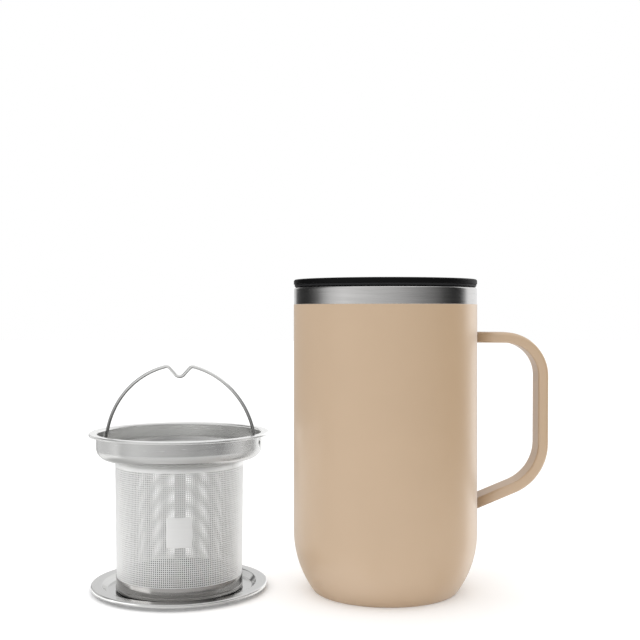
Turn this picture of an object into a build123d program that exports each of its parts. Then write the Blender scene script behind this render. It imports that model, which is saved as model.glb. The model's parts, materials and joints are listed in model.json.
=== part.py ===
from build123d import *
import os
from math import acos, cos, degrees, radians, sin, sqrt, tan

# Insulated steel mug with a press-in lid, and the tea infuser that stands on its tray beside it.
# Millimetres, +Z up. The origin is the centre of the mug's foot on the table. The handle points
# along +X, the sip hole faces -Y, and the infuser stands on the -X side.

# ---------------------------------------------------------------------------
# Driving dimensions
# ---------------------------------------------------------------------------

# Fits
lift_gap = 0.3              # round a piece that is lifted out or slid
press_gap = 0.02            # between two pieces that are pressed or welded together

# Mug body
mug_radius = 42.0           # outside of the coated shell
rim_height = 138.2          # top of the steel mouth
band_height = 7.8           # bare steel between the coat and the rim
coat_step = 0.15            # how far the coat stands proud of the bare band
shell_wall = 0.75           # outer shell, coat included
liner_wall = 0.6            # inner liner
vacuum_gap = 2.65           # between the shell and the liner
lip_rounding = 1.2          # roll of the two edges of the mouth
shoulder_height = 27.0      # where the straight wall starts to curve in
foot_inset = 9.0            # how far the foot's outer edge lies inside the wall
foot_width = 3.0            # width of the ring that the mug stands on
foot_rounding = 1.2
inside_floor = 6.6          # floor of the liner above the table
liner_corner = 4.0          # rounding between that floor and the wall
liner_joint_rise = 3.0      # weld of the liner's bottom, above the shoulder

# Bottom disc, with its evacuation dimple, bead and getter
bottom_sheet = 0.7
bottom_rise = 1.5           # how far the middle of the disc is pressed up
bottom_land = 5.0           # width of the flat ring round the pressed middle
dimple_radius = 4.8
dimple_rise = 0.6
evacuation_radius = 1.0
bead_height = 0.7
getter_radius = 5.0
getter_height = 1.0
getter_offset = 14.0        # from the mug's axis

# Handle
handle_reach = 32.3         # outer face of the grip from the mug's wall
handle_drop = 20.4          # upper face of the top arm below the rim
handle_thickness = 4.8
handle_width = 14.0
top_arm_fall = 0.2          # the top arm runs out this much lower than it starts
grip_lean = 0.3             # the grip's lower end stands this much nearer the mug
grip_length = 65.3          # from the top arm's face down to where grip and lower arm would meet
low_arm_fall = 12.4         # from there down to where the lower arm meets the mug
top_bend = 17.5             # bend of the strap's middle
low_bend = 22.0
strap_outer_rounding = 1.9
strap_inner_rounding = 1.1

# Lid
cover_thickness = 2.2
flange_thickness = 1.3
flange_inset = 0.35         # the flange under the cover is this much smaller
flange_undercut = 0.5       # bevel that leaves the shadow line over the rim
cover_rounding = 0.8
dish_margin = 4.5           # round the shallow dish in the top of the cover
dish_depth = 0.6
skirt_gap = 1.6             # between the skirt and the mouth
skirt_wall = 2.0
skirt_depth = 14.0
guide_height = 3.0          # collar under the flange that centres the lid
guide_gap = 0.6
groove_height = 3.2         # for the gasket
groove_depth = 1.0
groove_rise = 4.0           # from the skirt's lower edge
fin_count = 2
fin_height = 0.9

# Slider over the sip hole
slider_width = 20.4
slider_length = 28.0
slider_travel = 9.0
slider_corner = 5.0
slide_gap = 0.15            # between the slider and the web
sip_width = 14.0
sip_depth = 6.0
sip_inset = 11.0            # middle of the sip hole from the mouth's wall
sip_margin = 5.2            # from the sip hole's middle to the closed slider's front edge
stem_radius = 2.0
stem_setback = 0.7          # from the slider's middle, away from the sip hole
stem_gap = 0.3
clip_radius = 4.5
clip_thickness = 1.2
pad_margin = 1.5            # of the silicone pad round the sip hole
pad_thickness = 0.8
pad_gap = 0.05
rib_count = 3
rib_pitch = 3.0
rib_height = 0.5
rib_width = 1.0
rib_setback = 6.0           # middle of the grip ribs from the slider's middle
vent_radius = 0.75
vent_inset = 12.0           # from the mouth's wall, across from the sip hole

# Infuser and tray
set_gap = 11.5              # between the mug and the infuser's flange
infuser_height = 71.4       # from the tray's floor to the top of the flange
collar_sheet = 0.5
collar_gap = 0.3            # between the collar and the mouth of the mug
rim_flange_width = 3.4      # of the flange round the collar
hem_height = 0.9            # the flange's edge turned down
flange_bend = 0.8
collar_depth = 11.7
ledge_bend = 5.0            # outside rounding between the collar and its ledge
neck_height = 2.4           # of the ledge's edge turned down inside the strainer
neck_bend = 0.5
ledge_width = 8.5           # from the collar in to the strainer
strainer_taper = 0.7        # the strainer's foot is this much smaller than its top
strainer_sheet = 0.35
seam_width = 4.7
seam_turn = 7.4             # degrees, the seam is turned from the far side towards -X
floor_sheet = 0.4
foot_height = 6.3           # the strainer's floor lies level with the foot's upper edge
foot_sheet = 0.45
foot_rounding_out = 0.36    # of the foot's lower edge
foot_flange = 2.6           # width of the foot's flange under the tube
foot_groove_rise = 1.5      # of the groove line round the foot
foot_groove_depth = 0.25

# Bail
wire_radius = 0.75
hinge_drop = 4.4            # from the flange's top to the hinge holes
hinge_hole_radius = 1.2
bail_turn = 10.0            # degrees, the hinge axis is turned about Z
bail_gap = 1.1              # between the collar's inside and the foot of each leg
leg_lean = 13.5             # degrees, the legs lean in
leg_rise = 5.9              # how far the legs run straight before they curve
bail_arc_radius = 38.3      # of each side above them
notch_half_width = 5.7
notch_depth = 6.1           # of the V in the middle, below its two peaks
notch_bend = 2.8
peak_bend = 1.8
pin_bend = 1.2
pin_stand_out = 0.2         # of the wire's ends from the collar

# Tray
tray_inset = 1.0            # the tray is this much smaller than the infuser's flange
well_gap = 1.8              # round the tray's well when it sits in the collar
well_slope = 2.2            # how far the well's wall leans in
tray_sheet = 0.6
tray_depth = 2.6
tray_hem = 0.9
tray_bend = 0.7

# ---------------------------------------------------------------------------
# Sizes that follow from them
# ---------------------------------------------------------------------------

band_base = rim_height - band_height
band_radius = mug_radius - coat_step
band_inside = mug_radius - shell_wall
liner_radius = band_inside - vacuum_gap
mouth_radius = liner_radius - liner_wall
liner_joint = shoulder_height + liner_joint_rise
foot_radius = mug_radius - foot_inset
curve_radius = (foot_inset**2 + shoulder_height**2) / (2 * foot_inset)
foot_opening = foot_radius - foot_width

pan_height = shell_wall + bottom_sheet / 2 + bottom_rise
dimple_height = pan_height + dimple_rise
dimple_slope = dimple_rise
pan_top = pan_height + bottom_sheet / 2

handle_top = rim_height - handle_drop
low_corner = handle_top - grip_length
low_arm_foot = low_corner - low_arm_fall
grip_middle = mug_radius + handle_reach - handle_thickness / 2
top_arm_middle = handle_top - handle_thickness / 2
grip_foot = grip_middle - grip_lean
arm_slope = (low_corner - low_arm_foot) / (grip_foot - mug_radius)
strap_start = mug_radius - handle_thickness

lid_flange_top = rim_height + flange_thickness
lid_top = lid_flange_top + cover_thickness
lid_flange_radius = mug_radius - flange_inset
guide_radius = mouth_radius - guide_gap
skirt_radius = mouth_radius - skirt_gap
dish_radius = mug_radius - dish_margin
skirt_base = rim_height - skirt_depth
groove_base = skirt_base + groove_rise
gasket_radius = mouth_radius - lift_gap
groove_radius = skirt_radius - groove_depth
dish_floor = lid_top - dish_depth

sip_offset = mouth_radius - sip_inset
vent_offset = mouth_radius - vent_inset
slider_base = lid_flange_top + slide_gap
slider_top = dish_floor - press_gap
slider_front = -sip_offset - sip_margin
slider_middle = slider_front + slider_length / 2
track_width = slider_width + 2 * lift_gap
track_length = slider_length + slider_travel + 2 * lift_gap
track_middle = slider_middle + slider_travel / 2
stem_place = slider_middle + stem_setback
slot_middle = stem_place + slider_travel / 2
slot_width = 2 * (stem_radius + stem_gap)
clip_top = rim_height - slide_gap
pad_base = lid_flange_top + pad_gap

infuser_base = tray_sheet
flange_top = infuser_base + infuser_height
ledge_base = flange_top - collar_depth
collar_radius = mouth_radius - collar_gap
wall_middle = collar_radius - collar_sheet / 2
rim_flange_radius = collar_radius + rim_flange_width
hem_middle = rim_flange_radius - collar_sheet / 2
strainer_top_radius = collar_radius - ledge_width
strainer_foot_radius = strainer_top_radius - strainer_taper
foot_top = infuser_base + foot_height
floor_base = foot_top - floor_sheet
tube_seat = infuser_base + foot_sheet
set_spacing = mug_radius + set_gap + rim_flange_radius

hinge_height = flange_top - hinge_drop
leg_foot = collar_radius - collar_sheet - bail_gap
leg_top = leg_foot - leg_rise * tan(radians(leg_lean))
arc_centre_reach = leg_top - bail_arc_radius * cos(radians(leg_lean))
arc_centre_rise = leg_rise - bail_arc_radius * sin(radians(leg_lean))
peak_angle = degrees(acos((notch_half_width - arc_centre_reach) / bail_arc_radius))
peak_rise = arc_centre_rise + bail_arc_radius * sin(radians(peak_angle))
pin_end = collar_radius + pin_stand_out

tray_radius = rim_flange_radius - tray_inset
tray_well_radius = collar_radius - collar_sheet - well_gap
tray_floor_radius = tray_well_radius - well_slope


def infuser_plane(turn, height):
    """Upright plane through the infuser's axis, turned about it, with its origin at a height."""
    outward = Vector(cos(radians(turn)), sin(radians(turn)), 0)
    return Plane((-set_spacing, 0, height), x_dir=outward, z_dir=outward.cross(Vector(0, 0, 1)))


set_axis = Axis((-set_spacing, 0, 0), (0, 0, 1))
set_plane = infuser_plane(0, 0)
bail_plane = infuser_plane(-bail_turn, hinge_height)


# ---------------------------------------------------------------------------
# Shared profiles
# ---------------------------------------------------------------------------


def mug_section(inset, floor, top, corner):
    """Half section of the mug's form, moved in by inset and cut between two heights."""
    arc_centre = mug_radius - curve_radius
    floor_radius = arc_centre + sqrt((curve_radius - inset) ** 2 - (shoulder_height - floor) ** 2)
    wall_radius = mug_radius - inset
    with BuildSketch(Plane.XZ) as section:
        with BuildLine():
            wall_foot = (wall_radius, shoulder_height)
            floor_edge = (floor_radius, floor)
            Polyline(wall_foot, (wall_radius, top), (0, top), (0, floor), floor_edge)
            TangentArc(wall_foot, floor_edge, tangent=(0, -1))
        make_face()
        fillet(section.vertices().group_by(Axis.Y)[0].sort_by(Axis.X)[-1], corner)
    return section.sketch


def sheet_section(points, bends, thickness, plane=set_plane):
    """Section of bent sheet: a line through the points, rounded at its corners and given its thickness."""
    with BuildSketch(plane) as section:
        with BuildLine():
            FilletPolyline(*points, radius=bends)
        trace(line_width=thickness)
    return section.sketch


def strainer_radius(height):
    """Outside of the slightly tapered strainer tube at a height."""
    rise = (height - infuser_base) / (ledge_base - infuser_base)
    return strainer_foot_radius + rise * (strainer_top_radius - strainer_foot_radius)


# ---------------------------------------------------------------------------
# Mug
# ---------------------------------------------------------------------------

# Outer shell: the coated wall, curved in to a ring that the mug stands on.
with BuildPart() as outer_shell:
    revolve(mug_section(0, 0, band_base, foot_rounding), axis=Axis.Z)
    inside = mug_section(shell_wall, shell_wall, band_base, foot_rounding / 2)
    revolve(inside, axis=Axis.Z, mode=Mode.SUBTRACT)
    with BuildSketch(Plane.XY):
        Circle(foot_opening)
    extrude(amount=shell_wall, mode=Mode.SUBTRACT)

# Liner: the inner tube, its lip rolled over into the bare band above the coat.
with BuildPart() as inner_liner:
    with BuildSketch(Plane.XZ) as lip_section:
        with BuildLine():
            Polyline(
                (mouth_radius, liner_joint),
                (mouth_radius, rim_height),
                (band_radius, rim_height),
                (band_radius, band_base),
                (band_inside, band_base),
                (band_inside, rim_height - liner_wall),
                (liner_radius, rim_height - liner_wall),
                (liner_radius, liner_joint),
                close=True,
            )
        make_face()
        fillet(lip_section.vertices().group_by(Axis.Y)[-2], lip_rounding - liner_wall)
        fillet(lip_section.vertices().group_by(Axis.Y)[-1], lip_rounding)
    revolve(axis=Axis.Z)

# Liner bottom: a pressed cup that follows the shell's curve, butt-welded to the liner.
with BuildPart() as liner_bottom:
    liner_inset = mug_radius - mouth_radius
    outer_corner = liner_corner + liner_wall
    outside = mug_section(liner_inset - liner_wall, inside_floor - liner_wall, liner_joint, outer_corner)
    revolve(outside, axis=Axis.Z)
    hollow = mug_section(liner_inset, inside_floor, liner_joint, liner_corner)
    revolve(hollow, axis=Axis.Z, mode=Mode.SUBTRACT)

# Outer bottom: a pressed disc seated on the shell's ring, with the evacuation dimple.
with BuildPart() as outer_bottom:
    arc_centre = mug_radius - curve_radius
    disc_radius = arc_centre + sqrt((curve_radius - shell_wall) ** 2 - (shoulder_height - shell_wall) ** 2)
    disc_radius -= foot_rounding / 2
    land_inside = disc_radius - bottom_land
    disc_points = [
        (evacuation_radius, dimple_height),
        (dimple_radius, dimple_height),
        (dimple_radius + dimple_slope, pan_height),
        (land_inside - bottom_rise, pan_height),
        (land_inside, pan_height - bottom_rise),
        (disc_radius, pan_height - bottom_rise),
    ]
    revolve(sheet_section(disc_points, bottom_sheet, bottom_sheet, Plane.XZ), axis=Axis.Z)

# Evacuation bead: glass melted into the dimple, over the hole.
with BuildPart() as evacuation_seal:
    bead_top = dimple_height - bottom_sheet / 2
    with BuildSketch(Plane.XY.offset(bead_top - bead_height)):
        Circle(dimple_radius - bead_height)
    extrude(amount=bead_height)
    fillet(evacuation_seal.edges().sort_by(Axis.Z)[0], bead_height / 2)

# Getter: a tablet welded to the disc, inside the vacuum space.
with BuildPart() as getter:
    with BuildSketch(Plane.XY.offset(pan_top)):
        with Locations((0, getter_offset)):
            Circle(getter_radius)
    extrude(amount=getter_height)
    fillet(getter.edges().sort_by(Axis.Z)[-1], getter_height / 3)

# Handle: a rounded strap bent twice, both ends cut to the round of the shell.
with BuildPart() as handle:
    with BuildLine() as strap_path:
        FilletPolyline(
            (strap_start, 0, top_arm_middle),
            (grip_middle, 0, top_arm_middle - top_arm_fall),
            (grip_foot, 0, low_corner),
            (strap_start, 0, low_arm_foot - arm_slope * handle_thickness),
            radius=[top_bend, low_bend],
        )
    strap_plane = Plane(strap_path.line @ 0, x_dir=(0, 1, 0), z_dir=strap_path.line % 0)
    with BuildSketch(strap_plane) as strap:
        Rectangle(handle_width, handle_thickness)
        fillet(strap.vertices().group_by(Axis.Y)[-1], strap_outer_rounding)
        fillet(strap.vertices().group_by(Axis.Y)[0], strap_inner_rounding)
    sweep()
    with BuildSketch(Plane.XY):
        Circle(mug_radius)
    extrude(amount=rim_height, mode=Mode.SUBTRACT)

# ---------------------------------------------------------------------------
# Lid
# ---------------------------------------------------------------------------

# Lid body: flange on the rim, web over the mouth and a grooved skirt inside it.
with BuildPart() as lid_body:
    with BuildSketch(Plane.XZ):
        with BuildLine():
            Polyline(
                (0, rim_height),
                (0, lid_flange_top),
                (lid_flange_radius, lid_flange_top),
                (lid_flange_radius, rim_height + flange_undercut),
                (lid_flange_radius - flange_undercut, rim_height),
                (guide_radius, rim_height),
                (guide_radius, rim_height - guide_height),
                (skirt_radius, rim_height - guide_height),
                (skirt_radius, groove_base + groove_height),
                (groove_radius, groove_base + groove_height),
                (groove_radius, groove_base),
                (skirt_radius, groove_base),
                (skirt_radius, skirt_base),
                (skirt_radius - skirt_wall, skirt_base),
                (skirt_radius - skirt_wall, rim_height),
                close=True,
            )
        make_face()
    revolve(axis=Axis.Z)
    with BuildSketch(Plane.XY.offset(rim_height)):
        with Locations((0, -sip_offset)):
            SlotOverall(sip_width, sip_depth)
        with Locations((0, slot_middle)):
            SlotCenterToCenter(slider_travel, slot_width, rotation=90)
        with Locations((0, vent_offset)):
            Circle(vent_radius)
    extrude(amount=flange_thickness, mode=Mode.SUBTRACT)

# Lid cover: the top disc, dished, with the slider's track and the vent.
with BuildPart() as lid_cover:
    with BuildSketch(Plane.XY.offset(lid_flange_top)):
        Circle(mug_radius)
    extrude(amount=cover_thickness)
    fillet(lid_cover.edges().group_by(Axis.Z)[-1], cover_rounding)
    with BuildSketch(Plane.XY.offset(dish_floor)):
        Circle(dish_radius)
    extrude(amount=dish_depth, taper=-45, mode=Mode.SUBTRACT)
    with BuildSketch(Plane.XY.offset(lid_flange_top)):
        with Locations((0, track_middle)):
            RectangleRounded(track_width, track_length, slider_corner + lift_gap)
        with Locations((0, vent_offset)):
            Circle(vent_radius)
    extrude(amount=cover_thickness, mode=Mode.SUBTRACT)

# Gasket: a silicone ring in the skirt's groove, with fins that wipe the mouth.
with BuildPart() as lid_gasket:
    ring_base = groove_base + press_gap
    ring_height = groove_height - 2 * press_gap
    ring_radius = (skirt_radius + gasket_radius) / 2
    with BuildSketch(Plane.XZ):
        with BuildLine():
            Polyline(
                (groove_radius + press_gap, ring_base),
                (ring_radius, ring_base),
                (ring_radius, ring_base + ring_height),
                (groove_radius + press_gap, ring_base + ring_height),
                close=True,
            )
        make_face()
    revolve(axis=Axis.Z)
    for fin in range(fin_count):
        fin_base = ring_base + (fin + 0.5) * ring_height / fin_count - fin_height / 2
        with BuildSketch(Plane.XZ):
            with BuildLine():
                Polyline(
                    (ring_radius - groove_depth, fin_base),
                    (ring_radius, fin_base),
                    (gasket_radius, fin_base + fin_height / 2),
                    (ring_radius, fin_base + fin_height),
                    (ring_radius - groove_depth, fin_base + fin_height),
                    close=True,
                )
            make_face()
        revolve(axis=Axis.Z)

# Slider: a thin shutter with grip ribs, a pocket for its pad and a stem through the web.
with BuildPart() as slider:
    with BuildSketch(Plane.XY.offset(slider_base)):
        with Locations((0, slider_middle)):
            RectangleRounded(slider_width, slider_length, slider_corner)
    extrude(amount=slider_top - slider_base)
    rib_middle = slider_middle + rib_setback
    with BuildSketch(Plane.XY.offset(slider_top)):
        with Locations((0, rib_middle)):
            with GridLocations(0, rib_pitch, 1, rib_count):
                SlotOverall(slider_width - 2 * slider_corner, rib_width)
    extrude(amount=rib_height)
    with BuildSketch(Plane.XY.offset(slider_base)):
        with Locations((0, -sip_offset)):
            SlotOverall(sip_width + 2 * pad_margin, sip_depth + 2 * pad_margin)
    extrude(amount=pad_base + pad_thickness - slider_base, mode=Mode.SUBTRACT)
    with BuildSketch(Plane.XY.offset(slider_base)):
        with Locations((0, stem_place)):
            Circle(stem_radius)
    extrude(amount=clip_top - clip_thickness - slider_base)

# Slider seal: the silicone pad held in that pocket.
with BuildPart() as slider_seal:
    with BuildSketch(Plane.XY.offset(pad_base)):
        with Locations((0, -sip_offset)):
            pad_width = sip_width + 2 * (pad_margin - press_gap)
            SlotOverall(pad_width, sip_depth + 2 * (pad_margin - press_gap))
    extrude(amount=pad_thickness)

# Slider clip: the washer pressed onto the stem, under the web.
with BuildPart() as slider_clip:
    with BuildSketch(Plane.XY.offset(clip_top - clip_thickness)):
        with Locations((0, stem_place)):
            Circle(clip_radius)
            Circle(stem_radius + press_gap, mode=Mode.SUBTRACT)
    extrude(amount=clip_thickness)

# ---------------------------------------------------------------------------
# Infuser
# ---------------------------------------------------------------------------

# Collar: one pressed sheet, from the hemmed flange down to the neck inside the strainer.
with BuildPart() as infuser_collar:
    half_sheet = collar_sheet / 2
    neck_base = ledge_base - neck_height
    neck_radius = strainer_radius(neck_base) - strainer_sheet - press_gap - half_sheet
    collar_points = [
        (hem_middle, flange_top - hem_height),
        (hem_middle, flange_top - half_sheet),
        (wall_middle, flange_top - half_sheet),
        (wall_middle, ledge_base + half_sheet),
        (neck_radius, ledge_base + half_sheet),
        (neck_radius, neck_base),
    ]
    collar_bends = [half_sheet, flange_bend, ledge_bend - half_sheet, neck_bend]
    revolve(sheet_section(collar_points, collar_bends, collar_sheet), axis=set_axis)
    hole_plane = Plane(bail_plane.origin, x_dir=(0, 0, 1), z_dir=bail_plane.x_dir)
    with BuildSketch(hole_plane):
        Circle(hinge_hole_radius)
    extrude(amount=rim_flange_radius, both=True, mode=Mode.SUBTRACT)

# Strainer wall: the tube, plain here, tapered a little towards the foot.
with BuildPart() as strainer_wall:
    wall_top = ledge_base - neck_bend + collar_sheet / 2
    with BuildSketch(set_plane):
        with BuildLine():
            Polyline(
                (strainer_radius(tube_seat), tube_seat),
                (strainer_radius(wall_top), wall_top),
                (strainer_radius(wall_top) - strainer_sheet, wall_top),
                (strainer_radius(tube_seat) - strainer_sheet, tube_seat),
                close=True,
            )
        make_face()
    revolve(axis=set_axis)

# Strainer seam: the overlap strip that closes the tube, inside its far wall.
with BuildPart() as strainer_seam:
    seam_base = foot_top + press_gap
    seam_top = ledge_base - neck_height - lift_gap
    seam_span = degrees(seam_width / strainer_foot_radius)
    with BuildSketch(infuser_plane(90 + seam_turn - seam_span / 2, 0)):
        with BuildLine():
            Polyline(
                (strainer_radius(seam_base) - strainer_sheet - press_gap, seam_base),
                (strainer_radius(seam_top) - strainer_sheet - press_gap, seam_top),
                (strainer_radius(seam_top) - 2 * strainer_sheet, seam_top),
                (strainer_radius(seam_base) - 2 * strainer_sheet, seam_base),
                close=True,
            )
        make_face()
    revolve(axis=set_axis, revolution_arc=seam_span)

# Strainer floor: a disc welded inside the tube, level with the foot's upper edge, plain here.
with BuildPart() as strainer_floor:
    with BuildSketch(Plane.XY.offset(floor_base)):
        with Locations((-set_spacing, 0)):
            Circle(strainer_radius(floor_base) - strainer_sheet - press_gap)
    extrude(amount=floor_sheet)

# Foot ring: clasps the tube's lower end and carries it on its flange, with a groove line round it.
with BuildPart() as foot_ring:
    ring_inside = strainer_radius(tube_seat) + press_gap
    ring_outside = ring_inside + foot_sheet
    ring_flare = strainer_radius(foot_top) + press_gap
    groove_height_middle = infuser_base + foot_groove_rise
    with BuildSketch(set_plane) as ring_section:
        with BuildLine():
            Polyline(
                (ring_inside - foot_flange, infuser_base),
                (ring_outside, infuser_base),
                (ring_outside, groove_height_middle - foot_groove_depth),
                (ring_outside - foot_groove_depth, groove_height_middle),
                (ring_outside, groove_height_middle + foot_groove_depth),
                (ring_flare + foot_sheet, foot_top),
                (ring_flare, foot_top),
                (ring_inside, tube_seat),
                (ring_inside - foot_flange, tube_seat),
                close=True,
            )
        make_face()
        fillet(ring_section.vertices().group_by(Axis.Y)[0].sort_by(Axis.X)[-1], foot_rounding_out)
    revolve(axis=set_axis)

# Bail: one wire, its ends turned out through the collar and its middle bent into a V.
with BuildPart() as bail:
    sweep_angle = peak_angle - leg_lean
    notch_foot = peak_rise - notch_depth
    with BuildLine(bail_plane) as bail_path:
        Polyline((pin_end, 0), (leg_foot, 0), (leg_top, leg_rise))
        CenterArc((arc_centre_reach, arc_centre_rise), bail_arc_radius, leg_lean, sweep_angle)
        Polyline((notch_half_width, peak_rise), (0, notch_foot), (-notch_half_width, peak_rise))
        CenterArc((-arc_centre_reach, arc_centre_rise), bail_arc_radius, 180 - peak_angle, sweep_angle)
        Polyline((-leg_top, leg_rise), (-leg_foot, 0), (-pin_end, 0))
        hinge_corners = bail_path.vertices().group_by(Axis.Z)[0].sort_by(Axis.X)[1:3]
        fillet(hinge_corners, pin_bend)
        fillet(bail_path.vertices().group_by(Axis.Z)[-1], peak_bend)
        notch_corner = bail_plane.origin + Vector(0, 0, notch_foot)
        fillet(bail_path.vertices().sort_by_distance(notch_corner)[0], notch_bend)
    wire_path = bail_path.wire()
    with BuildSketch(Plane(wire_path @ 0, z_dir=wire_path % 0)):
        Circle(wire_radius)
    sweep(path=wire_path)

# ---------------------------------------------------------------------------
# Tray
# ---------------------------------------------------------------------------

# Tray: the infuser stands in its well; turned over, the same well sits in the collar as a lid.
with BuildPart() as tray:
    floor_middle = tray_sheet / 2
    flange_middle = tray_depth + tray_sheet / 2
    edge_middle = tray_radius - tray_sheet / 2
    tray_points = [
        (edge_middle, flange_middle - tray_hem),
        (edge_middle, flange_middle),
        (tray_well_radius, flange_middle),
        (tray_floor_radius, floor_middle),
        (0, floor_middle),
    ]
    tray_bends = [tray_sheet / 2, tray_bend, tray_bend]
    revolve(sheet_section(tray_points, tray_bends, tray_sheet), axis=set_axis)

# ---------------------------------------------------------------------------
# Labels and files
# ---------------------------------------------------------------------------

pieces = {
    "inner_liner": inner_liner,
    "liner_bottom": liner_bottom,
    "outer_shell": outer_shell,
    "outer_bottom": outer_bottom,
    "getter": getter,
    "evacuation_seal": evacuation_seal,
    "handle": handle,
    "lid_body": lid_body,
    "lid_cover": lid_cover,
    "lid_gasket": lid_gasket,
    "slider": slider,
    "slider_seal": slider_seal,
    "slider_clip": slider_clip,
    "infuser_collar": infuser_collar,
    "strainer_wall": strainer_wall,
    "strainer_seam": strainer_seam,
    "strainer_floor": strainer_floor,
    "foot_ring": foot_ring,
    "bail": bail,
    "tray": tray,
}
os.makedirs("parts", exist_ok=True)
for name, piece in pieces.items():
    piece.part.label = name
    export_step(piece.part, f"parts/{name}.step")
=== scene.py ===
# %% [markdown]
# # A steel mug with a lid, and the tea infuser that stands beside it
#
# Almost everything here was made on a lathe, a press or a spinning machine, so almost every piece is one
# profile carried round an axis or along a line. The measured model comes first, as a fixed frame. The pieces
# below take their places and their main sizes from it, so nothing has to be fitted afterwards.

# %% Load the frame
import json
import bmesh
import bpy
import numpy as np
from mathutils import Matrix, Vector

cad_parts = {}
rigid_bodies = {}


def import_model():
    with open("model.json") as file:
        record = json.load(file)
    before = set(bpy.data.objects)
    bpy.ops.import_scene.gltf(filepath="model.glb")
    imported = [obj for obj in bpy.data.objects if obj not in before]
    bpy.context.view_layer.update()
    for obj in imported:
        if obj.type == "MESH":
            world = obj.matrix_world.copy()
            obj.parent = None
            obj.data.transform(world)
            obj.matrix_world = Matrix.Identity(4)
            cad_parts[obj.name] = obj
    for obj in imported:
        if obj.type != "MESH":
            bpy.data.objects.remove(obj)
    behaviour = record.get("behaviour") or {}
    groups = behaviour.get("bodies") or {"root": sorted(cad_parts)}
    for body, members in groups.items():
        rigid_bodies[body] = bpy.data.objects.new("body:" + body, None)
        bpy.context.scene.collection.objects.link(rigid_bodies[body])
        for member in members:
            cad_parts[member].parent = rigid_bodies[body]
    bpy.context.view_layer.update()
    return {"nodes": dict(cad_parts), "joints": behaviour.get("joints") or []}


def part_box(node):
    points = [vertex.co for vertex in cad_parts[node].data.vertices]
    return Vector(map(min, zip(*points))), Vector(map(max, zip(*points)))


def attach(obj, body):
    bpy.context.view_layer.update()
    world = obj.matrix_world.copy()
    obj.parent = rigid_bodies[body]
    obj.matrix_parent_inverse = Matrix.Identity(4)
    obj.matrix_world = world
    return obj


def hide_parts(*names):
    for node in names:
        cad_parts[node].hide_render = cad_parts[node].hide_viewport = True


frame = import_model()
mm = 0.001
print("pieces in the frame:", len(frame["nodes"]))

# %% [markdown]
# ## Reading sizes off the frame
#
# A turned piece is known by its heights and by its nearest and farthest distance from its axis. Reading those
# numbers off the frame's own vertices keeps this file free of copied measurements. The box of a round piece
# would do for the heights, but its sides can fall short of the true radius, because the frame's rounds are
# many small flats.


# %% Heights and radii
def node_points(node):
    """All the vertices of a frame piece, as one array."""
    mesh = frame["nodes"][node].data
    points = np.zeros(len(mesh.vertices) * 3, np.float32)
    mesh.vertices.foreach_get("co", points)
    return points.reshape(-1, 3).astype(float)


def heights(node):
    """Lowest and highest point of a frame piece."""
    z = node_points(node)[:, 2]
    return z.min(), z.max()


def axis_distance(points, centre_x):
    """Distance of each point from an upright axis: the root of x squared plus y squared."""
    return np.hypot(points[:, 0] - centre_x, points[:, 1])


def radii(node, centre_x=0.0):
    """Nearest and farthest distance of a frame piece from an upright axis."""
    distance = axis_distance(node_points(node), centre_x)
    return distance.min(), distance.max()


def radius_at(node, level, centre_x, within=0.1 * mm):
    """Farthest distance of a frame piece from an upright axis, near one height."""
    points = node_points(node)
    near = np.abs(points[:, 2] - level) < within
    return axis_distance(points[near], centre_x).max()


foot_z, band_z = heights("outer_shell")
rim_z = heights("inner_liner")[1]
shell_r = radii("outer_shell")[1]
mouth_r, band_r = radii("inner_liner")
tray_low, tray_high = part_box("tray")
infuser_x = (tray_low.x + tray_high.x) / 2
hinge = next(joint for joint in frame["joints"] if joint["name"] == "bail_swing")
hinge_z = hinge["pos_m"][2]
print(f"mug {2 * shell_r / mm:.1f} mm across, its rim at {rim_z / mm:.1f} mm")
print(f"infuser's axis at {infuser_x / mm:.1f} mm, its hinge at {hinge_z / mm:.1f} mm")

# %% [markdown]
# ## Lines with rounded corners
#
# Sheet steel is never bent to a sharp corner, and a moulded edge is never sharp either. So the profiles are
# drawn as a few straight runs, and every corner gets an arc of its own radius. A short extra point on each
# side of an arc holds the flat beside it flat, because smooth shading would otherwise bleed round the corner.


# %% Rounded lines
def unit(vector):
    """The vector divided by its length."""
    return vector / np.linalg.norm(vector)


def rounded(corners, bends, steps=8, hold=0.05 * mm):
    """A line through the corners with an arc at each inner one.

    With h as half the angle of the corner, the arc leaves the straight runs at radius / tan(h) from the
    corner, and its centre lies radius / sin(h) along the line that halves the angle. The points on it are
    the two spokes blended by sines, so they turn evenly.
    """
    corners = np.asarray(corners, float)
    share = np.linspace(0, 1, steps + 1)[:, None]
    parts = [corners[:1]]
    for before, corner, after, radius in zip(corners[:-2], corners[1:-1], corners[2:], bends):
        back = unit(before - corner)
        ahead = unit(after - corner)
        half = np.arccos(np.clip(back @ ahead, -1, 1)) / 2
        centre = corner + unit(back + ahead) * radius / np.sin(half)
        spoke_in = corner + back * radius / np.tan(half) - centre
        spoke_out = corner + ahead * radius / np.tan(half) - centre
        turn = np.pi - 2 * half
        arc = (np.sin((1 - share) * turn) * spoke_in + np.sin(share * turn) * spoke_out) / np.sin(turn)
        arc += centre
        parts += [arc[:1] + back * hold, arc, arc[-1:] + ahead * hold]
    return np.concatenate(parts + [corners[-1:]])


def rounded_loop(corners, bends, steps=8):
    """The same for a closed outline.

    It starts and ends half way along the run between its last corner and its first.
    """
    corners = np.asarray(corners, float)
    middle = (corners[:1] + corners[-1:]) / 2
    return rounded(np.concatenate([middle, corners, middle]), bends, steps)[:-1]


print("a quarter bend of 1 mm has", len(rounded([[0, 0], [5, 0], [5, 5]], [1])), "points")

# %% [markdown]
# ### Bent sheet
#
# A pressing is the same line made thick: moved half a thickness to each side, and closed by a half round at
# each end, as sheet is when its cut edge has been tumbled smooth.


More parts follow.
